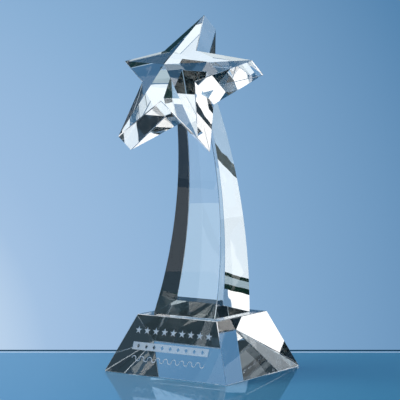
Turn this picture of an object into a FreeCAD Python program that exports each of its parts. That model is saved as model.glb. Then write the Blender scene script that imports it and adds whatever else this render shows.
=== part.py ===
import FreeCAD, Part
import math
import os

import Sketcher

# Star trophy in optical crystal: a sloped base block, a curved and tapering column, and a thick
# five-pointed star whose front is a shallow pyramid.  The three ground pieces are held together by
# two thin films of clear adhesive.
#
# Frame: +Z up, +X to the right as seen from the front, the engraved front faces -Y.  The origin is
# the centre of the base block's underside.  Millimetres and degrees throughout.

SIZES = {
    # base block: a frustum of a rectangular pyramid
    "base_width": 110,
    "base_depth": 102,
    "base_top_width": 71.5,
    "base_top_depth": 69,
    "base_height": 43,
    "edge_break": 0.4,
    # engraving on the front slope; each rise is measured up the slope from the bottom edge
    "etch_depth": 0.2,
    "etch_bar_width": 68,
    "etch_bar_height": 6,
    "etch_bar_rise": 22,
    "etch_star_radius": 3.1,
    "etch_star_inner": 1.26,
    "etch_star_pitch": 7.9,
    "etch_star_rise": 34,
    "etch_diamond_width": 2.6,
    "etch_diamond_height": 3.4,
    "etch_diamond_pitch": 7.2,
    "etch_wave_radius": 1.8,
    "etch_wave_stroke": 0.7,
    "etch_wave_rise": 12.5,
    # column: it stands on the base, and its side faces taper evenly from the foot past the neck
    "column_foot_width": 55.5,
    "column_neck_width": 24.8,
    "column_neck_height": 203.5,
    "column_front_foot": 25.2,
    "column_back_foot": 23,
    "column_front_radius": 223.4,
    "column_back_radius": 286,
    # the crown is where the column's two curved faces would end if they ran on into the star
    "crown_front_forward": 21,
    "crown_front_height": 210,
    "crown_back_forward": 10.8,
    "crown_back_height": 226,
    # star: forward and height place the centre of its flat back, which the column is bonded to
    "star_radius": 60.4,
    "star_inner": 24.6,
    "star_side": 19,
    "star_peak": 22.5,
    "star_lean": 34,
    "star_forward": 15.7,
    "star_height": 206.9,
    # adhesive, and a span that is larger than any section of the column
    "bond_film": 0.1,
    "trim_span": 160,
}

# odd numbers, because each row has one mark in the middle
ETCHED_STARS = 9
ETCHED_DIAMONDS = 9
ETCHED_WAVES = 9
POINTS = 5

# An angle can only be bound once the rotation has an axis, so rotations start as 1 degree about X.
ABOUT_X = FreeCAD.Placement(FreeCAD.Vector(), FreeCAD.Rotation(FreeCAD.Vector(1, 0, 0), 1))

doc = FreeCAD.newDocument("star_trophy")


class Dim:
    """A number together with the sheet expression that gives it, so that both stay in step."""

    def __init__(self, value, text):
        self.value = value
        self.text = text

    def joined(self, other, sign, value):
        other_text = other.text if isinstance(other, Dim) else f"{other:g}"
        return Dim(value, f"({self.text} {sign} {other_text})")

    def __add__(self, other):
        return self.joined(other, "+", self.value + number(other))

    def __sub__(self, other):
        return self.joined(other, "-", self.value - number(other))

    def __mul__(self, other):
        return self.joined(other, "*", self.value * number(other))

    def __truediv__(self, other):
        return self.joined(other, "/", self.value / number(other))

    def __neg__(self):
        return Dim(-self.value, f"-{self.text}")


def number(item):
    return item.value if isinstance(item, Dim) else item


def make_sheet():
    """The driving dimensions, one row each: the word in column A, the number in column B."""
    sheet = doc.addObject("Spreadsheet::Sheet", "sizes")
    for row, (alias, value) in enumerate(SIZES.items(), start=1):
        sheet.set(f"A{row}", alias)
        sheet.set(f"B{row}", str(value))
        sheet.setAlias(f"B{row}", alias)
    doc.recompute()
    return sheet


def dim(alias):
    return Dim(float(getattr(sheet, alias)), f"sizes.{alias}")


ZERO = Dim(0.0, "0")


# ---------------------------------------------------------------- sketches


def new_sketch(body, name, role, offset=ZERO, lean="0 deg"):
    """A sketch on one of the body's origin planes, moved along its normal, then leaned about X."""
    plane = next(item for item in body.Origin.OriginFeatures if item.Role == role)
    sketch = body.newObject("Sketcher::SketchObject", name)
    sketch.AttachmentSupport = [(plane, "")]
    sketch.MapMode = "FlatFace"
    sketch.AttachmentOffset = ABOUT_X
    sketch.setExpression(".AttachmentOffset.Base.z", offset.text)
    sketch.setExpression(".AttachmentOffset.Rotation.Angle", lean)
    doc.recompute()
    return sketch


def bind_constraint(sketch, name, kind, *items, size):
    """A dimension of the sketch, held at size and bound to the sheet."""
    index = sketch.addConstraint(Sketcher.Constraint(kind, *items, size.value))
    sketch.renameConstraint(index, name)
    sketch.setExpression(f"Constraints.{name}", size.text)


def bind_point(sketch, name, vertex, x, y):
    """Holds one vertex at bound distances from the sketch's origin."""
    bind_constraint(sketch, f"{name}_x", "DistanceX", -1, 1, *vertex, size=x)
    bind_constraint(sketch, f"{name}_y", "DistanceY", -1, 1, *vertex, size=y)


def as_vector(point):
    return FreeCAD.Vector(number(point[0]), number(point[1]), 0)


def add_outline(sketch, points, middles=()):
    """A closed outline through points, returned as its vertices.

    Edge k runs from point k to the next one.  It is straight, or an arc through middles[k]."""
    middles = dict(middles)
    count = len(points)
    first = len(sketch.Geometry)
    corners = [as_vector(point) for point in points]
    for k, start in enumerate(corners):
        end = corners[(k + 1) % count]
        if k in middles:
            edge = Part.Arc(start, as_vector(middles[k]), end)
        else:
            edge = Part.LineSegment(start, end)
        sketch.addGeometry(edge, False)
    # the sketcher stores an arc that runs clockwise the other way round
    ends = []
    for k in range(count):
        turned = (sketch.getPoint(first + k, 1) - corners[k]).Length > 1e-6
        ends.append((2, 1) if turned else (1, 2))
    for k in range(count):
        after = (k + 1) % count
        joint = Sketcher.Constraint("Coincident", first + k, ends[k][1], first + after, ends[after][0])
        sketch.addConstraint(joint)
    return [(first + k, ends[k][0]) for k in range(count)]


def arc_middle(start, end, radius):
    """The middle of the shallow arc from start to end that bulges towards +X."""
    start, end = as_vector(start), as_vector(end)
    chord = end - start
    bulge = radius.value - math.sqrt(radius.value ** 2 - chord.Length ** 2 / 4)
    across = FreeCAD.Vector(chord.y, -chord.x, 0).normalize()
    if across.x < 0:
        across = -across
    middle = (start + end) / 2 + across * bulge
    return middle.x, middle.y


def add_rectangle(sketch, width, height, rise=ZERO):
    """A rectangle on the sketch's vertical axis, with its middle at a height of rise."""
    half_width, half_height = width / 2, height / 2
    low, high = rise - half_height, rise + half_height
    points = [(-half_width, low), (half_width, low), (half_width, high), (-half_width, high)]
    vertices = add_outline(sketch, points)
    for name, vertex, (x, y) in zip(("low_left", "low_right", "high_right", "high_left"), vertices, points):
        bind_point(sketch, name, vertex, x, y)


def add_diamond(sketch, name, width, height, x, rise):
    points = [(x - width / 2, rise), (x, rise - height / 2), (x + width / 2, rise), (x, rise + height / 2)]
    vertices = add_outline(sketch, points)
    for k, (vertex, point) in enumerate(zip(vertices, points)):
        bind_point(sketch, f"{name}_{k}", vertex, *point)


def add_wave(sketch, radius, stroke, rise):
    """One full wave of a line as wide as stroke: half a ring above the height rise, then half a
    ring below it."""
    half = stroke / 2
    wide, narrow = radius + half, radius - half
    points = [(-radius * 2 - half, rise), (half, rise), (radius * 2 - half, rise),
              (radius * 2 + half, rise), (-half, rise), (-radius * 2 + half, rise)]
    middles = {0: (-radius, rise + wide), 1: (radius, rise - narrow),
               3: (radius, rise - wide), 4: (-radius, rise + narrow)}
    vertices = add_outline(sketch, points, middles)
    for k, (vertex, point) in enumerate(zip(vertices, points)):
        bind_point(sketch, f"end_{k}", vertex, *point)
    for k in middles:
        bind_constraint(sketch, f"centre_{k}", "DistanceY", -1, 1, vertices[k][0], 3, size=rise)


def add_star(sketch, outer, inner, rise=ZERO):
    """A regular star with one point straight up, its vertices on two construction circles."""
    points = []
    for k in range(2 * POINTS):
        radius = (inner if k % 2 else outer).value
        angle = math.pi / 2 + k * math.pi / POINTS
        points.append((radius * math.cos(angle), rise.value + radius * math.sin(angle)))
    vertices = add_outline(sketch, points)
    circles = []
    for name, radius in (("outer", outer), ("inner", inner)):
        circle = Part.Circle(FreeCAD.Vector(0, rise.value, 0), FreeCAD.Vector(0, 0, 1), radius.value)
        circles.append(sketch.addGeometry(circle, True))
        bind_constraint(sketch, name, "Radius", circles[-1], size=radius)
    bind_point(sketch, "centre", (circles[0], 3), ZERO, rise)
    sketch.addConstraint(Sketcher.Constraint("Coincident", circles[1], 3, circles[0], 3))
    for k, vertex in enumerate(vertices):
        sketch.addConstraint(Sketcher.Constraint("PointOnObject", *vertex, circles[k % 2]))
        if k:
            sketch.addConstraint(Sketcher.Constraint("Equal", vertices[0][0], vertex[0]))
    sketch.addConstraint(Sketcher.Constraint("PointOnObject", *vertices[0], -2))


# ---------------------------------------------------------------- features


def add_pad(body, name, sketch, length, side="One side"):
    pad = body.newObject("PartDesign::Pad", name)
    pad.Profile = sketch
    pad.SideType = side
    pad.setExpression("Length", length.text)
    doc.recompute()
    return pad


def cut_checked(body, feature):
    """Recomputes a cutting feature and makes sure that it really took material away."""
    before = body.Shape.Volume
    body.Tip = feature
    doc.recompute()
    assert feature.Shape.Volume < before, f"{feature.Name} cuts nothing"
    return feature


def cut_shallow(body, name, sketch, depth):
    pocket = body.newObject("PartDesign::Pocket", name)
    pocket.Profile = sketch
    pocket.setExpression("Length", depth.text)
    return cut_checked(body, pocket)


def cut_row(body, name, sketch, depth, count, pitch):
    """A row of count shallow marks, the middle one where its sketch is, the others along X."""
    middle = cut_shallow(body, name, sketch, depth)
    each_side = count // 2
    for side, turned in (("right", False), ("left", True)):
        row = body.newObject("PartDesign::LinearPattern", f"{name}_{side}")
        row.Originals = [middle]
        row.Direction = (sketch, ["H_Axis"])
        row.Reversed = turned
        row.Occurrences = each_side + 1
        row.setExpression("Length", (pitch * each_side).text)
        cut_checked(body, row)


def cut_right_through(body, name, sketch):
    pocket = body.newObject("PartDesign::Pocket", name)
    pocket.Profile = sketch
    pocket.Type = "ThroughAll"
    pocket.SideType = "Symmetric"
    return cut_checked(body, pocket)


def slope_both_sides(body, name, role, low_half, high_half, low, high):
    """Cuts a wedge off each side, right through the body, and leaves two sloping faces: low_half
    from the middle at the height low, and high_half from it at the height high."""
    sketch = new_sketch(body, f"{name}_outline", role)
    for label, sign in (("right", 1), ("left", -1)):
        points = [(low_half * sign, low), (low_half * sign, high), (high_half * sign, high)]
        vertices = add_outline(sketch, points)
        for corner, vertex, (x, y) in zip(("foot", "outer", "inner"), vertices, points):
            bind_point(sketch, f"{label}_{corner}", vertex, x, y)
    return cut_right_through(body, name, sketch)


def break_edges(body, name, feature, edges):
    """The fine flat that polishing leaves along each outer edge."""
    chamfer = body.newObject("PartDesign::Chamfer", name)
    chamfer.Base = (feature, edges)
    chamfer.setExpression("Size", dim("edge_break").text)
    return cut_checked(body, chamfer)


def edge_names(shape, wanted):
    return [f"Edge{k + 1}" for k, edge in enumerate(shape.Edges) if wanted(edge)]


# ---------------------------------------------------------------- base block


def make_base():
    """The frustum, its broken edges, and the shallow engraving on its front slope."""
    body = doc.addObject("PartDesign::Body", "base_block")
    outline = new_sketch(body, "base_outline", "XY_Plane")
    add_rectangle(outline, dim("base_width"), dim("base_depth"))
    add_pad(body, "base_blank", outline, dim("base_height"))
    slope_both_sides(body, "side_slopes", "XZ_Plane",
                     dim("base_width") / 2, dim("base_top_width") / 2, ZERO, dim("base_height"))
    slopes = slope_both_sides(body, "front_and_back_slopes", "YZ_Plane",
                              dim("base_depth") / 2, dim("base_top_depth") / 2, ZERO, dim("base_height"))
    break_edges(body, "base_edges", slopes, edge_names(slopes.Shape, lambda edge: True))
    engrave(body)
    return body


def engrave(body):
    """From the top down: a row of small stars, a bar with clear diamonds left in it, and a wavy
    line.  The sketches lie on the front slope: the origin is the middle of its bottom edge, and Y
    runs up the slope."""
    run = (dim("base_depth") - dim("base_top_depth")) / 2
    lean = f"-atan({(run / dim('base_height')).text})"
    depth = dim("etch_depth")

    def slope_sketch(name):
        return new_sketch(body, name, "XZ_Plane", dim("base_depth") / 2, lean)

    bar = slope_sketch("etch_bar_outline")
    add_rectangle(bar, dim("etch_bar_width"), dim("etch_bar_height"), dim("etch_bar_rise"))
    for k in range(ETCHED_DIAMONDS):
        x = dim("etch_diamond_pitch") * (k - ETCHED_DIAMONDS // 2)
        add_diamond(bar, f"diamond_{k}", dim("etch_diamond_width"), dim("etch_diamond_height"),
                    x, dim("etch_bar_rise"))
    cut_shallow(body, "etch_bar", bar, depth)

    star = slope_sketch("etch_star_outline")
    add_star(star, dim("etch_star_radius"), dim("etch_star_inner"), dim("etch_star_rise"))
    cut_row(body, "etch_stars", star, depth, ETCHED_STARS, dim("etch_star_pitch"))

    wave = slope_sketch("etch_wave_outline")
    add_wave(wave, dim("etch_wave_radius"), dim("etch_wave_stroke"), dim("etch_wave_rise"))
    cut_row(body, "etch_waves", wave, depth, ETCHED_WAVES, dim("etch_wave_radius") * 4)


# ---------------------------------------------------------------- column


def make_column_blank():
    """The column before it is trimmed: it stands on the base top and runs on into the star."""
    body = doc.addObject("PartDesign::Body", "column_blank")
    side = new_sketch(body, "column_side", "YZ_Plane")
    corners = {
        "front_foot": (-dim("column_front_foot"), dim("base_height")),
        "back_foot": (dim("column_back_foot"), dim("base_height")),
        "back_crown": (-dim("crown_back_forward"), dim("crown_back_height")),
        "front_crown": (-dim("crown_front_forward"), dim("crown_front_height")),
    }
    back = arc_middle(corners["back_foot"], corners["back_crown"], dim("column_back_radius"))
    front = arc_middle(corners["front_crown"], corners["front_foot"], dim("column_front_radius"))
    vertices = add_outline(side, list(corners.values()), {1: back, 3: front})
    for vertex, (name, (x, y)) in zip(vertices, corners.items()):
        bind_point(side, name, vertex, x, y)
    for k, name in ((1, "column_back_radius"), (3, "column_front_radius")):
        bind_constraint(side, name, "Radius", vertices[k][0], size=dim(name))
    add_pad(body, "column_slab", side, dim("column_foot_width"), "Symmetric")

    taper = (dim("column_foot_width") - dim("column_neck_width")) / 2
    taper = taper / (dim("column_neck_height") - dim("base_height"))
    foot_half = dim("column_foot_width") / 2
    crown_half = foot_half - taper * (dim("crown_back_height") - dim("base_height"))
    flanks = slope_both_sides(body, "flanks", "XZ_Plane", foot_half, crown_half,
                              dim("base_height"), dim("crown_back_height"))

    # the four long corners are broken; the ends stay sharp, because they are bonded or trimmed
    long_side = dim("column_neck_height").value / 2
    corners = edge_names(flanks.Shape, lambda edge: edge.BoundBox.ZLength > long_side)
    assert len(corners) == 4, corners
    break_edges(body, "column_edges", flanks, corners)
    return body


# ---------------------------------------------------------------- star


def lean_back(item):
    """Stands an object built flat on XY up against the column, its +Z towards the front."""
    item.Placement = ABOUT_X
    item.setExpression(".Placement.Rotation.Angle", "(90 - sizes.star_lean) * 1 deg")


def make_star():
    """A thick star with a flat back; five planes ground at the front meet in one peak."""
    body = doc.addObject("PartDesign::Body", "star")
    outline = new_sketch(body, "star_outline", "XY_Plane")
    add_star(outline, dim("star_radius"), dim("star_inner"))
    over = dim("star_side") + dim("star_peak")
    add_pad(body, "star_blank", outline, over)

    # the wedge above one facet: the facet starts at the peak, on the star's axis, and has come
    # down to the height of the tips half way between two of them
    facet = new_sketch(body, "facet_wedge", "YZ_Plane")
    reach = -(dim("star_radius") * math.cos(math.pi / POINTS))
    points = [(ZERO, over), (reach, dim("star_side")), (reach, over)]
    for name, vertex, (x, y) in zip(("peak", "rim", "over"), add_outline(facet, points), points):
        bind_point(facet, name, vertex, x, y)
    cut = cut_right_through(body, "facet", facet)
    facets = body.newObject("PartDesign::PolarPattern", "facets")
    facets.Originals = [cut]
    facets.Axis = (outline, ["N_Axis"])
    facets.Angle = 360
    facets.Occurrences = POINTS
    cut_checked(body, facets)

    lean_back(body)
    body.setExpression(".Placement.Base.y", f"-{dim('star_forward').text}")
    body.setExpression(".Placement.Base.z", dim("star_height").text)
    return body


# ---------------------------------------------------------------- trimming and adhesive


def box_of(name, height):
    box = doc.addObject("Part::Box", name)
    box.setExpression("Length", dim("trim_span").text)
    box.setExpression("Width", dim("trim_span").text)
    box.setExpression("Height", height.text)
    box.setExpression(".Placement.Base.x", (-dim("trim_span") / 2).text)
    return box


def flat_slab(name):
    """A slab one adhesive film thick, lying on the base block's top face."""
    slab = box_of(name, dim("bond_film"))
    slab.setExpression(".Placement.Base.y", (-dim("trim_span") / 2).text)
    slab.setExpression(".Placement.Base.z", dim("base_height").text)
    return slab


def leaning_box(name, height):
    """A box whose lower face lies one adhesive film behind the star's back."""
    box = box_of(name, height)
    lean_back(box)
    lean = "(sizes.star_lean * 1 deg)"
    half = (dim("trim_span") / 2).text
    box.setExpression(".Placement.Base.x", f"-{half}")
    box.setExpression(".Placement.Base.y",
                      f"-sizes.star_forward - {half} * sin{lean} + sizes.bond_film * cos{lean}")
    box.setExpression(".Placement.Base.z",
                      f"sizes.star_height - {half} * cos{lean} - sizes.bond_film * sin{lean}")
    return box


def boolean(kind, name, base, tool):
    result = doc.addObject(f"Part::{kind}", name)
    result.Base = base
    result.Tool = tool
    doc.recompute()
    return result


def check_document(pieces):
    """Stops if any object failed to recompute, or a piece isn't one valid closed solid."""
    for item in doc.Objects:
        bad = {"Invalid", "Error"} & set(item.State)
        assert not bad, f"{item.Name}: {item.State}"
    for piece in pieces:
        shape = piece.Shape
        assert not shape.isNull() and shape.isValid(), piece.Label
        assert len(shape.Solids) == 1, f"{piece.Label} has {len(shape.Solids)} solids"


def write_pieces(pieces):
    os.makedirs("parts", exist_ok=True)
    for piece in pieces:
        piece.Shape.exportStep(f"parts/{piece.Label}.step")
        box = piece.Shape.optimalBoundingBox(False)
        print(f"{piece.Label:11s} {piece.Shape.Volume / 1000:7.2f} cm3"
              f"  x {box.XMin:7.2f} {box.XMax:7.2f}  y {box.YMin:7.2f} {box.YMax:7.2f}"
              f"  z {box.ZMin:7.2f} {box.ZMax:7.2f}")


sheet = make_sheet()
base_block = make_base()
column_blank = make_column_blank()
star = make_star()

# both films are slices of the column's own glass, so they have exactly its outline there
foot_slab = flat_slab("foot_slab")
base_bond = boolean("Common", "base_bond", column_blank, foot_slab)
star_bond = boolean("Common", "star_bond", column_blank, leaning_box("neck_slab", dim("bond_film")))
column_raised = boolean("Cut", "column_raised", column_blank, foot_slab)
column = boolean("Cut", "column", column_raised, leaning_box("neck_trim", dim("trim_span")))

pieces = [base_block, column, star, base_bond, star_bond]
for piece in pieces:
    piece.Label = piece.Name
doc.recompute()
check_document(pieces)
write_pieces(pieces)
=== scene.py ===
import math

import bmesh
import bpy
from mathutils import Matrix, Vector


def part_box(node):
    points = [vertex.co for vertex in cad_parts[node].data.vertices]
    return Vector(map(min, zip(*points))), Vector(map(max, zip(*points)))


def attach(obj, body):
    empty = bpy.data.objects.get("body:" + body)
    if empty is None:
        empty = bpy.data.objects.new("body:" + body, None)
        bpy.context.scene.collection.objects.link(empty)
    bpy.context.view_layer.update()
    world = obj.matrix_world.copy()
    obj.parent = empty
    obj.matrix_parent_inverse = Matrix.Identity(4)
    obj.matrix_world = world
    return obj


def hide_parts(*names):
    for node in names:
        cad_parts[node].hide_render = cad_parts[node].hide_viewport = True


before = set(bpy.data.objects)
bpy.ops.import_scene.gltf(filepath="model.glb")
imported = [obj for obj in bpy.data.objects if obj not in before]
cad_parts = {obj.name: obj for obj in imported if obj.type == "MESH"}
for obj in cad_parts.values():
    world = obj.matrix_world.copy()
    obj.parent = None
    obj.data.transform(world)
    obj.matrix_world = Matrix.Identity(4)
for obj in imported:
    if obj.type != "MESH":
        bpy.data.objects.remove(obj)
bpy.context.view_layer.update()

# Star trophy in optical crystal.  Metres, +Z up, the engraved front faces -Y.
MM = 0.001

# ---------------------------------------------------------------- sizes, as the CAD model has them

BASE_WIDTH, BASE_DEPTH = 110 * MM, 102 * MM
BASE_TOP_WIDTH, BASE_TOP_DEPTH = 71.5 * MM, 69 * MM
BASE_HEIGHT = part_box("base_block")[1].z
ARRIS = 0.4 * MM                # width of the broken edges
FILM = 0.1 * MM                 # thickness of the adhesive
ETCH_DEPTH = 0.2 * MM

# the column: half its width at the foot and at the neck, and its front and back as arcs in (y, z)
# from the base up to a crown
FOOT_HALF = 27.75 * MM
NECK_HALF, NECK_HEIGHT = 12.4 * MM, 203.5 * MM
FRONT_FOOT, BACK_FOOT = -25.2 * MM, 23 * MM
FRONT_RADIUS, BACK_RADIUS = 223.4 * MM, 286 * MM
FRONT_CROWN = (-21 * MM, 210 * MM)
BACK_CROWN = (-10.8 * MM, 226 * MM)
COLUMN_ROWS = 160
HALVINGS = 50                   # steps of the search for the height where the column meets the star

# the star: a flat back at STAR_BACK, straight sides, then a pyramid STAR_PEAK high
POINTS = 5
STAR_RADIUS, STAR_INNER = 60.4 * MM, 24.6 * MM
STAR_SIDE, STAR_PEAK = 19 * MM, 22.5 * MM
STAR_LEAN = math.radians(34)
STAR_BACK = Vector((0, -15.7, 206.9)) * MM
STAR_FRONTWARD = Vector((0, -math.cos(STAR_LEAN), math.sin(STAR_LEAN)))
STAR_UPWARD = Vector((0, math.sin(STAR_LEAN), math.cos(STAR_LEAN)))

WELD = 0.001 * MM               # points closer than this are one point
SAME_WAY = 0.999                # cosine above which two directions count as the same
SQUARE_ON = 0.01                # cosine below which two directions count as square to each other

# ---------------------------------------------------------------- materials

CLEAR, EDGE, BONDED, FROSTED = range(4)     # places in MATERIALS

CRYSTAL_IOR = 1.52
CLEAR_TINT = (0.985, 0.995, 0.99)
NOISE_LOW, NOISE_HIGH = 0.35, 0.65          # most of a noise texture's values lie between these
POLISH_GRAIN, TINT_GRAIN, ADHESIVE_GRAIN = 90, 25, 300      # repeats per metre


def new_material(name):
    material = bpy.data.materials.new(name)
    material.use_nodes = True
    tree = material.node_tree
    tree.nodes.clear()
    return material, tree, tree.nodes.new("ShaderNodeOutputMaterial")


def noise(tree, scale, detail):
    """Noise laid over the object's own coordinates, scale in repeats per metre."""
    place = tree.nodes.new("ShaderNodeTexCoord")
    texture = tree.nodes.new("ShaderNodeTexNoise")
    texture.inputs["Scale"].default_value = scale
    texture.inputs["Detail"].default_value = detail
    tree.links.new(place.outputs["Object"], texture.inputs["Vector"])
    return texture.outputs[0]


def two_tone(tree, value, first, second):
    """Turns a noise value into a colour between first and second."""
    ramp = tree.nodes.new("ShaderNodeValToRGB")
    ends = zip(ramp.color_ramp.elements, (NOISE_LOW, NOISE_HIGH), (first, second))
    for element, position, color in ends:
        element.position = position
        element.color = (*color, 1)
    tree.links.new(value, ramp.inputs[0])
    return ramp.outputs[0]


def spread(tree, value, low, high, first, last):
    """Carries value from the range low..high to the range first..last."""
    span = tree.nodes.new("ShaderNodeMapRange")
    ends = {"From Min": low, "From Max": high, "To Min": first, "To Max": last}
    for socket, number in ends.items():
        span.inputs[socket].default_value = number
    tree.links.new(value, span.inputs["Value"])
    return span.outputs[0]


def crystal(name, smooth, rough, grain, depth, clear=1.0):
    """Crystal whose roughness drifts from smooth to rough, over a relief of grain and depth."""
    material, tree, out = new_material(name)
    glass = tree.nodes.new("ShaderNodeBsdfPrincipled")
    glass.inputs["Transmission Weight"].default_value = clear
    glass.inputs["IOR"].default_value = CRYSTAL_IOR
    polish = spread(tree, noise(tree, POLISH_GRAIN, 3), NOISE_LOW, NOISE_HIGH, smooth, rough)
    tree.links.new(polish, glass.inputs["Roughness"])
    tint = two_tone(tree, noise(tree, TINT_GRAIN, 1), (1, 1, 1), CLEAR_TINT)
    tree.links.new(tint, glass.inputs["Base Color"])
    relief = tree.nodes.new("ShaderNodeBump")
    relief.inputs["Strength"].default_value = 1
    relief.inputs["Distance"].default_value = depth
    tree.links.new(noise(tree, grain, 1), relief.inputs["Height"])
    tree.links.new(relief.outputs[0], glass.inputs["Normal"])
    tree.links.new(glass.outputs[0], out.inputs["Surface"])
    return material


def see_through(name, first, second):
    """Adhesive that matches the crystal optically: it only tints what is behind it, unevenly."""
    material, tree, out = new_material(name)
    clear = tree.nodes.new("ShaderNodeBsdfTransparent")
    tint = two_tone(tree, noise(tree, ADHESIVE_GRAIN, 2), first, second)
    tree.links.new(tint, clear.inputs["Color"])
    tree.links.new(clear.outputs[0], out.inputs["Surface"])
    return material


MATERIALS = [
    crystal("crystal_clear", smooth=0.0, rough=0.004, grain=45, depth=0.02 * MM),
    crystal("crystal_arris", smooth=0.25, rough=0.35, grain=2500, depth=0.01 * MM),
    see_through("crystal_bonded", (1, 1, 1), (0.98, 0.99, 0.985)),
    crystal("crystal_frosted", smooth=0.38, rough=0.55, grain=3500, depth=0.02 * MM, clear=0.4),
]
ADHESIVE = see_through("adhesive_cured", (1, 1, 1), (0.97, 0.985, 0.98))


# ---------------------------------------------------------------- meshes


def make_piece(name, mesh_data, replaced):
    mesh = bpy.data.meshes.new(name)
    mesh_data.to_mesh(mesh)
    mesh_data.free()
    for material in MATERIALS:
        mesh.materials.append(material)
    piece = bpy.data.objects.new(name, mesh)
    bpy.context.scene.collection.objects.link(piece)
    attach(piece, "root")
    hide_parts(replaced)


def arc_through(start, end, radius):
    """(y, z) centre of the circle through start and end whose arc bulges towards +Y."""
    (y0, z0), (y1, z1) = start, end
    chord = math.hypot(y1 - y0, z1 - z0)
    drop = math.sqrt(radius ** 2 - (chord / 2) ** 2)
    across_y, across_z = (z1 - z0) / chord, -(y1 - y0) / chord
    return (y0 + y1) / 2 - across_y * drop, (z0 + z1) / 2 - across_z * drop


def arc_y(centre, radius, z):
    return centre[0] + math.sqrt(radius ** 2 - (z - centre[1]) ** 2)


FRONT_CENTRE = arc_through((FRONT_FOOT, BASE_HEIGHT), FRONT_CROWN, FRONT_RADIUS)
BACK_CENTRE = arc_through((BACK_FOOT, BASE_HEIGHT), BACK_CROWN, BACK_RADIUS)


def column_half(z):
    taper = (FOOT_HALF - NECK_HALF) / (NECK_HEIGHT - BASE_HEIGHT)
    return FOOT_HALF - taper * (z - BASE_HEIGHT)


def meets_star(centre, radius, gap):
    """The height where a curved face of the column reaches the plane gap behind the star."""
    plane = STAR_BACK - STAR_FRONTWARD * gap
    low, high = STAR_BACK.z - 20 * MM, STAR_BACK.z + 30 * MM
    for _ in range(HALVINGS):
        z = (low + high) / 2
        point = Vector((0, arc_y(centre, radius, z), z))
        if (point - plane).dot(STAR_FRONTWARD) < 0:
            low = z
        else:
            high = z
    return z


def make_base():
    """The base block as the CAD engraves it, with a surface finish for each kind of face."""
    bm = bmesh.new()
    bm.from_mesh(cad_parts["base_block"].data)
    bmesh.ops.remove_doubles(bm, verts=bm.verts, dist=WELD)
    # the top is cut along the four sides of the column's foot, which leaves the bonded patch
    top = [f for f in bm.faces if f.normal.z > SAME_WAY]
    for on_line, across in (((-FOOT_HALF, 0, 0), (1, 0, 0)), ((FOOT_HALF, 0, 0), (1, 0, 0)),
                            ((0, FRONT_FOOT, 0), (0, 1, 0)), ((0, BACK_FOOT, 0), (0, 1, 0))):
        around = set(top) | {e for f in top for e in f.edges} | {v for f in top for v in f.verts}
        bmesh.ops.bisect_plane(bm, geom=list(around), dist=WELD, plane_co=on_line, plane_no=across)
        top = [f for f in bm.faces if f.normal.z > SAME_WAY]
    lean_x, lean_y = (BASE_WIDTH - BASE_TOP_WIDTH) / 2, (BASE_DEPTH - BASE_TOP_DEPTH) / 2
    front = Vector((0, -BASE_HEIGHT, lean_y)).normalized()
    flats = [Vector(normal).normalized() for normal in (
        (0, 0, 1), (0, 0, -1), (0, -BASE_HEIGHT, lean_y), (0, BASE_HEIGHT, lean_y),
        (BASE_HEIGHT, 0, lean_x), (-BASE_HEIGHT, 0, lean_x))]
    for face in bm.faces:
        middle = face.calc_center_median()
        depth = -(middle - Vector((0, -BASE_DEPTH / 2, 0))).dot(front)
        facing_front = face.normal.dot(front)
        face.smooth = False
        if face in top and abs(middle.x) < FOOT_HALF and FRONT_FOOT < middle.y < BACK_FOOT:
            face.material_index = BONDED
        elif facing_front > SAME_WAY and depth > ETCH_DEPTH / 2:
            face.material_index = FROSTED       # the floor of the engraving
        elif max(face.normal.dot(flat) for flat in flats) > SAME_WAY:
            face.material_index = CLEAR
        elif abs(facing_front) < SQUARE_ON:
            face.material_index = FROSTED       # the walls of the engraving
        else:
            face.material_index = EDGE
    make_piece("base", bm, "base_block")


def make_column():
    """The curved bar, in rings of eight points from the foot to the star, two at each corner."""
    bm = bmesh.new()
    foot = BASE_HEIGHT + FILM
    front_top = meets_star(FRONT_CENTRE, FRONT_RADIUS, FILM)
    back_top = meets_star(BACK_CENTRE, BACK_RADIUS, FILM)
    levels = []
    for k in range(COLUMN_ROWS + 1):
        share = k / COLUMN_ROWS
        zf, zb = foot + share * (front_top - foot), foot + share * (back_top - foot)
        yf, yb = arc_y(FRONT_CENTRE, FRONT_RADIUS, zf), arc_y(BACK_CENTRE, BACK_RADIUS, zb)
        backward = Vector((0, yb - yf, zb - zf)).normalized() * ARRIS
        ring = []
        for x_sign, y, z, inward, side_first in (
                (-1, yf, zf, backward, True), (1, yf, zf, backward, False),
                (1, yb, zb, -backward, True), (-1, yb, zb, -backward, False)):
            on_side = Vector((x_sign * column_half(z + inward.z), y + inward.y, z + inward.z))
            on_face = Vector((x_sign * (column_half(z) - ARRIS), y, z))
            ring += [on_side, on_face] if side_first else [on_face, on_side]
        levels.append([bm.verts.new(p) for p in ring])
    count = len(levels[0])
    # broken edges and faces take turns around the ring, starting with the front left edge
    for low, high in zip(levels, levels[1:]):
        for k in range(count):
            n = (k + 1) % count
            face = bm.faces.new((low[k], low[n], high[n], high[k]))
            face.smooth = True
            face.material_index = EDGE if k % 2 == 0 else CLEAR
        for k in range(count):
            bm.edges.get((low[k], high[k])).smooth = False
    for ring, turned in ((levels[0], True), (levels[-1], False)):
        cap = bm.faces.new(ring[::-1] if turned else ring)
        cap.material_index = BONDED
        for edge in cap.edges:
            edge.smooth = False
    make_piece("column_glass", bm, "column")


def star_point(x, y, z):
    """A point x to the right, y up the star and z in front of its back."""
    return STAR_BACK + Vector((x, 0, 0)) + STAR_UPWARD * y + STAR_FRONTWARD * z


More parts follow.
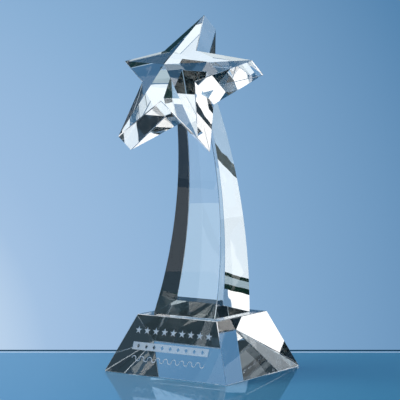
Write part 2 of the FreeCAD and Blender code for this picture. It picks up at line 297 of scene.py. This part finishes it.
def make_star():
    """The star, whose flat back has the column's neck marked out in it as the bonded patch."""
    bm = bmesh.new()
    half = math.pi / POINTS
    # the pyramid's slopes meet the sides at the tips, so the notches are higher
    notch_rise = STAR_PEAK * (1 - STAR_INNER / (STAR_RADIUS * math.cos(half)))
    back, front = [], []
    for k in range(2 * POINTS):
        radius, rise = (STAR_INNER, notch_rise) if k % 2 else (STAR_RADIUS, 0)
        angle = math.pi / 2 + k * half
        x, y = radius * math.cos(angle), radius * math.sin(angle)
        back.append(bm.verts.new(star_point(x, y, 0)))
        front.append(bm.verts.new(star_point(x, y, STAR_SIDE + rise)))
    peak = bm.verts.new(star_point(0, 0, STAR_SIDE + STAR_PEAK))
    count = 2 * POINTS
    for k in range(count):
        n = (k + 1) % count
        bm.faces.new((front[k], front[n], peak))
        bm.faces.new((back[k], back[n], front[n], front[k]))
    # half the neck's width and its place up the star, at the column's front and back
    patch = []
    for centre, radius in ((FRONT_CENTRE, FRONT_RADIUS), (BACK_CENTRE, BACK_RADIUS)):
        z = meets_star(centre, radius, 0)
        offset = Vector((0, arc_y(centre, radius, z), z)) - STAR_BACK
        patch.append((column_half(z), offset.dot(STAR_UPWARD)))
    (low_half, low_y), (high_half, high_y) = patch
    corners = [bm.verts.new(star_point(x, y, 0)) for x, y in
               ((low_half, low_y), (-low_half, low_y), (-high_half, high_y), (high_half, high_y))]
    bonded = bm.faces.new(corners)
    bonded.material_index = BONDED
    rim = [bm.edges.get((back[k], back[(k + 1) % count])) for k in range(count)]
    bmesh.ops.triangle_fill(bm, use_beauty=True, use_dissolve=False,
                            edges=rim + list(bonded.edges), normal=-STAR_FRONTWARD)
    bmesh.ops.recalc_face_normals(bm, faces=bm.faces)
    # the edges round the back and the front, and those at the tips, are broken
    outer = rim + [bm.edges.get((front[k], front[(k + 1) % count])) for k in range(count)]
    outer += [bm.edges.get((back[k], front[k])) for k in range(0, count, 2)]
    bmesh.ops.bevel(bm, geom=outer, offset=ARRIS, offset_type="OFFSET", segments=1, profile=0.5,
                    affect="EDGES", material=EDGE)
    make_piece("star_glass", bm, "star")


make_base()
make_column()
make_star()
# the two adhesive films stay as the CAD has them
for node in ("base_bond", "star_bond"):
    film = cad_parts[node]
    film.data.materials.clear()
    film.data.materials.append(ADHESIVE)

# ---------------------------------------------------------------- camera

AZIMUTH, ELEVATION = math.radians(34.1), math.radians(4.07)
TARGET = Vector((-6.75, 6.41, 127.7)) * MM
DISTANCE = 1.2919
FOCAL_LENGTH, SENSOR_WIDTH = 153, 36        # millimetres, as Blender has them
CLIP_NEAR, CLIP_FAR = 0.05, 50
# directions over the table as the camera sees them
AHEAD = Vector((-math.sin(AZIMUTH), math.cos(AZIMUTH), 0))
RIGHT = Vector((math.cos(AZIMUTH), math.sin(AZIMUTH), 0))
UP = Vector((0, 0, 1))


def make_camera():
    back = UP * math.sin(ELEVATION) - AHEAD * math.cos(ELEVATION)
    camera = bpy.data.objects.new("camera", bpy.data.cameras.new("camera"))
    camera.data.sensor_width = SENSOR_WIDTH
    camera.data.lens = FOCAL_LENGTH
    camera.data.clip_start, camera.data.clip_end = CLIP_NEAR, CLIP_FAR
    camera.location = TARGET + back * DISTANCE
    camera.rotation_mode = "QUATERNION"
    camera.rotation_quaternion = back.to_track_quat("Z", "Y")
    bpy.context.scene.collection.objects.link(camera)
    bpy.context.scene.camera = camera


make_camera()

# ---------------------------------------------------------------- stage
# The crystal shows what stands around it, so most of its light comes from cards.  Bearings are in
# degrees from AHEAD, positive to the right; heights above the horizon are in degrees too.  All
# other measures are in metres from the middle of the trophy's foot.


def towards(bearing, height):
    bearing, height = math.radians(bearing), math.radians(height)
    level = AHEAD * math.cos(bearing) + RIGHT * math.sin(bearing)
    return level * math.cos(height) + UP * math.sin(height)


def add_flat(name, corners, material):
    """A flat piece of the stage with the given corners."""
    mesh = bpy.data.meshes.new(name)
    mesh.from_pydata(corners, [], [range(len(corners))])
    mesh.materials.append(material)
    flat = bpy.data.objects.new(name, mesh)
    bpy.context.scene.collection.objects.link(flat)
    return flat


def level_corners(left, right, near, far, height):
    """Corners of a level rectangle that is square to the camera."""
    return [RIGHT * x + AHEAD * y + UP * height
            for x, y in ((left, near), (right, near), (right, far), (left, far))]


def emission_material(name, color, strength=1.0):
    material, tree, out = new_material(name)
    shine = tree.nodes.new("ShaderNodeEmission")
    shine.inputs["Color"].default_value = (*color, 1)
    shine.inputs["Strength"].default_value = strength
    tree.links.new(shine.outputs[0], out.inputs["Surface"])
    material.cycles.emission_sampling = "NONE"
    return material


WHITE = emission_material("card_white", (1, 1, 1), 1.4)
PALE = emission_material("card_pale", (0.82, 0.92, 1.0), 1.1)
MIST = emission_material("card_mist", (0.38, 0.56, 0.76))
GREY = emission_material("card_grey", (0.36, 0.48, 0.55))
LIGHT = emission_material("card_light", (0.60, 0.70, 0.76))
HAZE = emission_material("card_haze", (0.30, 0.50, 0.62))
NAVY = emission_material("card_navy", (0.03, 0.09, 0.17))
DARK = emission_material("card_dark", (0.042, 0.065, 0.082), 0.75)
DUSK = emission_material("card_dusk", (0.02, 0.035, 0.05), 0.8)
SHADE = emission_material("card_shade", (0.012, 0.020, 0.030))
BLACK = emission_material("card_black", (0.005, 0.022, 0.016))

CARD_DISTANCE = 1.1
CARD_STEP = 15                  # a standing card is made of flats about this many degrees wide
TOP_HEIGHT, UNDER_HEIGHT = 1.2, -0.35

# name, left and right bearing, low and high edge, material
STANDING_CARDS = [
    # left: a high softbox with dark below it
    ("side_light", -103, -70, 0.69, 1.6, WHITE),
    ("left_gap_high", -103, -70, 0.35, 0.69, DARK),
    ("left_gap", -103, -98, -0.1, 0.35, DARK),
    # left of the camera: a large softbox, dimmer high up at its far end
    ("front_light", -140, -112, 0.02, 1.2, PALE),
    ("front_light_side", -112, -103, 0.02, 0.42, PALE),
    ("front_light_dim", -112, -103, 0.42, 1.2, HAZE),
    ("front_light_foot", -140, -113, -0.06, 0.02, WHITE),
    # ahead: the backdrop's pale top and foot, and a dark blue card high up to the left of it
    ("backdrop_top", -9, 25, 0.5, 0.62, PALE),
    ("backdrop_upper", -12, 25, 0.62, 0.8, GREY),
    ("backdrop_left", -22, -14, 0.36, 0.45, PALE),
    ("backdrop_foot", -14, 28, -0.5, -0.06, MIST),
    ("far_left", -66, -16, 0.45, 1.1, NAVY),
    # right: dark, with one bright strip, and a pale sheet low down
    ("right_edge", 23.5, 25, 0.37, 0.5, PALE),
    ("right_edge_dark", 18, 23.5, 0.4, 0.5, DARK),
    ("right_high", 25, 100, 0.35, 0.9, DUSK),
    ("right_strip", 66, 97, 0.14, 0.35, PALE),
    ("right_dark", 34, 66, -0.1, 0.35, SHADE),
    ("right_low", 44, 90, -0.35, 0.14, SHADE),
    ("right_sheet", 90, 108, -0.8, 0.14, PALE),
    ("right_side", 97, 112, 0.14, 0.35, DUSK),
    # behind the camera
    ("behind", 125, 215, -0.3, 1.4, DARK),
]

# name, left and right edge, near and far edge, height, material
LYING_CARDS = [
    # overhead
    ("top_light", -0.9, 0.9, -0.62, 1.1, TOP_HEIGHT, WHITE),
    # sheets on the table to the left, over a black cloth
    ("left_sheet_near", -0.200, -0.14, -0.5, 0.05, 0, MIST),
    ("left_sheet", -0.40, -0.208, -0.5, 0.05, 0, PALE),
    ("left_sheet_far", -0.50, -0.425, -0.6, 0.05, 0, GREY),
    ("left_table", -0.6, -0.14, -0.7, 0.05, -1 * MM, BLACK),
    # below the table's far edge and past it
    ("under", -0.12, 1.0, 0.03, 0.36, UNDER_HEIGHT, BLACK),
    ("under_far", 0.04, 1.0, 0.36, 0.75, UNDER_HEIGHT, BLACK),
    ("under_left", -0.8, 0.04, 0.36, 0.9, UNDER_HEIGHT, LIGHT),
    # a dark strip behind the table, and a white sheet to the right, nearer the camera
    ("dark_strip", 0.03, 0.12, 0.5, 0.6, 0, NAVY),
    ("near_sheet", 0.08, 0.25, -0.35, -0.15, 0, WHITE),
]


def add_card(name, corners, material):
    """A card that shows only through the crystal and in reflections, like one just out of shot."""
    card = add_flat(name, corners, material)
    card.visible_camera = card.visible_diffuse = card.visible_shadow = False
    return card


def standing_card(name, left, right, low, high, material):
    """An upright card on an arc about the trophy."""
    steps = max(1, round((right - left) / CARD_STEP))
    for k in range(steps):
        a, b = (towards(left + (right - left) * j / steps, 0) * CARD_DISTANCE for j in (k, k + 1))
        corners = [a + UP * low, b + UP * low, b + UP * high, a + UP * high]
        add_card(f"{name}_{k}", corners, material)


def lying_card(name, left, right, near, far, height, material):
    """A level card.  Of these only the one overhead shows in reflections."""
    card = add_card(name, level_corners(left, right, near, far, height), material)
    card.visible_glossy = height == TOP_HEIGHT


for card in STANDING_CARDS:
    standing_card(*card)
for card in LYING_CARDS:
    lying_card(*card)

# the backdrop's colours at angles from its brightest point, in degrees
GLOW = towards(-14, -10)
GLOW_STOPS = [
    (180, (0.18, 0.32, 0.50)),
    (38, (0.045, 0.125, 0.24)),
    (24, (0.093, 0.235, 0.43)),
    (15, (0.25, 0.43, 0.66)),
    (9, (0.35, 0.52, 0.75)),
    (0, (0.75, 0.87, 0.98)),
]


def make_world():
    """A soft blue backdrop that is brightest low down on the left."""
    world = bpy.data.worlds.new("world")
    bpy.context.scene.world = world
    world.use_nodes = True
    tree = world.node_tree
    coords = tree.nodes.new("ShaderNodeTexCoord")
    axis = tree.nodes.new("ShaderNodeVectorMath")
    axis.operation = "DOT_PRODUCT"
    axis.inputs[1].default_value = GLOW
    tree.links.new(coords.outputs["Generated"], axis.inputs[0])
    ramp = tree.nodes.new("ShaderNodeValToRGB")
    tree.links.new(axis.outputs["Value"], ramp.inputs[0])
    elements = ramp.color_ramp.elements
    while len(elements) < len(GLOW_STOPS):
        elements.new(0.5)
    for element, (angle, color) in zip(elements, GLOW_STOPS):
        element.position = max(0, math.cos(math.radians(angle)))
        element.color = (*color, 1)
    tree.links.new(ramp.outputs[0], tree.nodes["Background"].inputs[0])


make_world()

# how far ahead of the trophy the table ends, with a painted shade line along its edge and a
# painted highlight line in front of that
TABLE_EDGE = 83 * MM
RIM_DARK_FAR = 90 * MM
RIM_LIGHT_NEAR, RIM_LIGHT_FAR = 75 * MM, 81 * MM
TABLE_HALF = 0.9
# the table is polished up to one distance from the trophy, and plain and pale from another
POLISHED_TO, PLAIN_FROM = 0.18, 0.32
POLISHED, PLAIN = 0.02, 0.6     # their roughness
LIGHT_FALLOFF_HALF = 0.12                # painted light falloff: the table's blue is paler this far to the left, nearer the key light, and darker this far to the right
# the parts of the table that the crystal sees, painted dark as the shade the trophy casts on it
DARK_LEFT, MAT_LEFT, MAT_RIGHT, DARK_NEAR = -0.14, -0.025, 0.14, -0.4
# the sheets lie one just above the other, under the trophy
FLOOR_HEIGHT, DARK_HEIGHT, RIM_HEIGHT = -0.2 * MM, -0.15 * MM, -0.1 * MM


def painted(name, color, roughness, specular, ior=1.5):
    material, tree, out = new_material(name)
    paint = tree.nodes.new("ShaderNodeBsdfPrincipled")
    paint.inputs["Base Color"].default_value = (*color, 1)
    paint.inputs["Roughness"].default_value = roughness
    paint.inputs["IOR"].default_value = ior
    paint.inputs["Specular IOR Level"].default_value = specular
    tree.links.new(paint.outputs[0], out.inputs["Surface"])
    return material


def floor_material():
    """Polished blue near the trophy, plain and pale farther out, with light painted in: paler to
    the left, toward the key light, darker to the right.
    """
    material, tree, out = new_material("floor")
    paint = tree.nodes.new("ShaderNodeBsdfPrincipled")
    place = tree.nodes.new("ShaderNodeTexCoord")
    across = tree.nodes.new("ShaderNodeVectorMath")
    across.operation = "DOT_PRODUCT"
    across.inputs[1].default_value = RIGHT
    tree.links.new(place.outputs["Object"], across.inputs[0])
    # painted light falloff: the base colour runs from pale on the left, nearer the key light, to
    # dark on the right
    blue = tree.nodes.new("ShaderNodeValToRGB")
    blue.color_ramp.elements[0].color = (0.26, 0.56, 0.78, 1)
    blue.color_ramp.elements[1].color = (0.09, 0.40, 0.56, 1)
    tree.links.new(spread(tree, across.outputs["Value"], -LIGHT_FALLOFF_HALF, LIGHT_FALLOFF_HALF, 0, 1),
                   blue.inputs[0])
    away = tree.nodes.new("ShaderNodeVectorMath")
    away.operation = "LENGTH"
    tree.links.new(place.outputs["Object"], away.inputs[0])
    distance = away.outputs["Value"]
    tree.links.new(spread(tree, distance, POLISHED_TO, PLAIN_FROM, POLISHED, PLAIN),
                   paint.inputs["Roughness"])
    pale = tree.nodes.new("ShaderNodeMixRGB")
    pale.inputs["Color2"].default_value = (0.42, 0.60, 0.76, 1)
    tree.links.new(spread(tree, distance, POLISHED_TO, PLAIN_FROM, 0, 1), pale.inputs["Fac"])
    tree.links.new(blue.outputs[0], pale.inputs["Color1"])
    tree.links.new(pale.outputs[0], paint.inputs["Base Color"])
    tree.links.new(paint.outputs[0], out.inputs["Surface"])
    return material


def make_floor():
    """The table top, which ends just behind the trophy, with the painted shade line and painted
    highlight line of its polished edge.
    """
    corners = level_corners(-TABLE_HALF, TABLE_HALF, -TABLE_HALF, TABLE_EDGE, FLOOR_HEIGHT)
    floor = add_flat("floor", corners, floor_material())
    floor.visible_transmission = False
    # the polished edge's shade and highlight are painted on: a dark matte strip and a pale matte
    # strip
    for name, color, near, far in (
            ("rim_painted_shade", (0.02, 0.09, 0.14), TABLE_EDGE, RIM_DARK_FAR),
            ("rim_painted_highlight", (0.75, 0.90, 1.0), RIM_LIGHT_NEAR, RIM_LIGHT_FAR)):
        corners = level_corners(-TABLE_HALF, TABLE_HALF, near, far, RIM_HEIGHT)
        rim = add_flat(name, corners, painted(name, color, roughness=0.5, specular=0))
        rim.visible_transmission = rim.visible_shadow = False


def make_table():
    """The table top as only the crystal sees it, painted dark as the shade the trophy casts on it:
    polished to the left and matte elsewhere.
    """
    for name, color, specular, left, right in (
            ("table", (0.03, 0.05, 0.06), 0.5, DARK_LEFT, MAT_LEFT),
            ("mat", (0.03, 0.045, 0.05), 0.0, MAT_LEFT, MAT_RIGHT)):
        # painted shade: dark sheets stand in for the shaded table under the trophy
        corners = level_corners(left, right, DARK_NEAR, TABLE_EDGE, DARK_HEIGHT)
        sheet = add_flat(name, corners, painted(name, color, 0.0, specular, ior=1.4))
        sheet.visible_camera = sheet.visible_glossy = False
        sheet.visible_diffuse = sheet.visible_shadow = False


make_floor()
make_table()

KEY_PLACE = towards(-86, 35) * CARD_DISTANCE
KEY_SIZE, KEY_POWER = 0.8, 6


def make_key():
    """A soft light from the upper left, for the table and the frosted engraving."""
    key = bpy.data.objects.new("key", bpy.data.lights.new("key", "AREA"))
    key.data.size = KEY_SIZE
    key.data.energy = KEY_POWER
    key.location = KEY_PLACE
    key.rotation_mode = "QUATERNION"
    key.rotation_quaternion = KEY_PLACE.to_track_quat("Z", "Y")
    bpy.context.scene.collection.objects.link(key)
    key.visible_camera = key.visible_transmission = key.visible_glossy = False


make_key()

# light passes many faces on its way through the crystal
scene = bpy.context.scene
scene.cycles.max_bounces = 40
scene.cycles.transmission_bounces = 40
scene.cycles.transparent_max_bounces = 40
scene.cycles.glossy_bounces = 16
scene.view_settings.view_transform = "Standard"
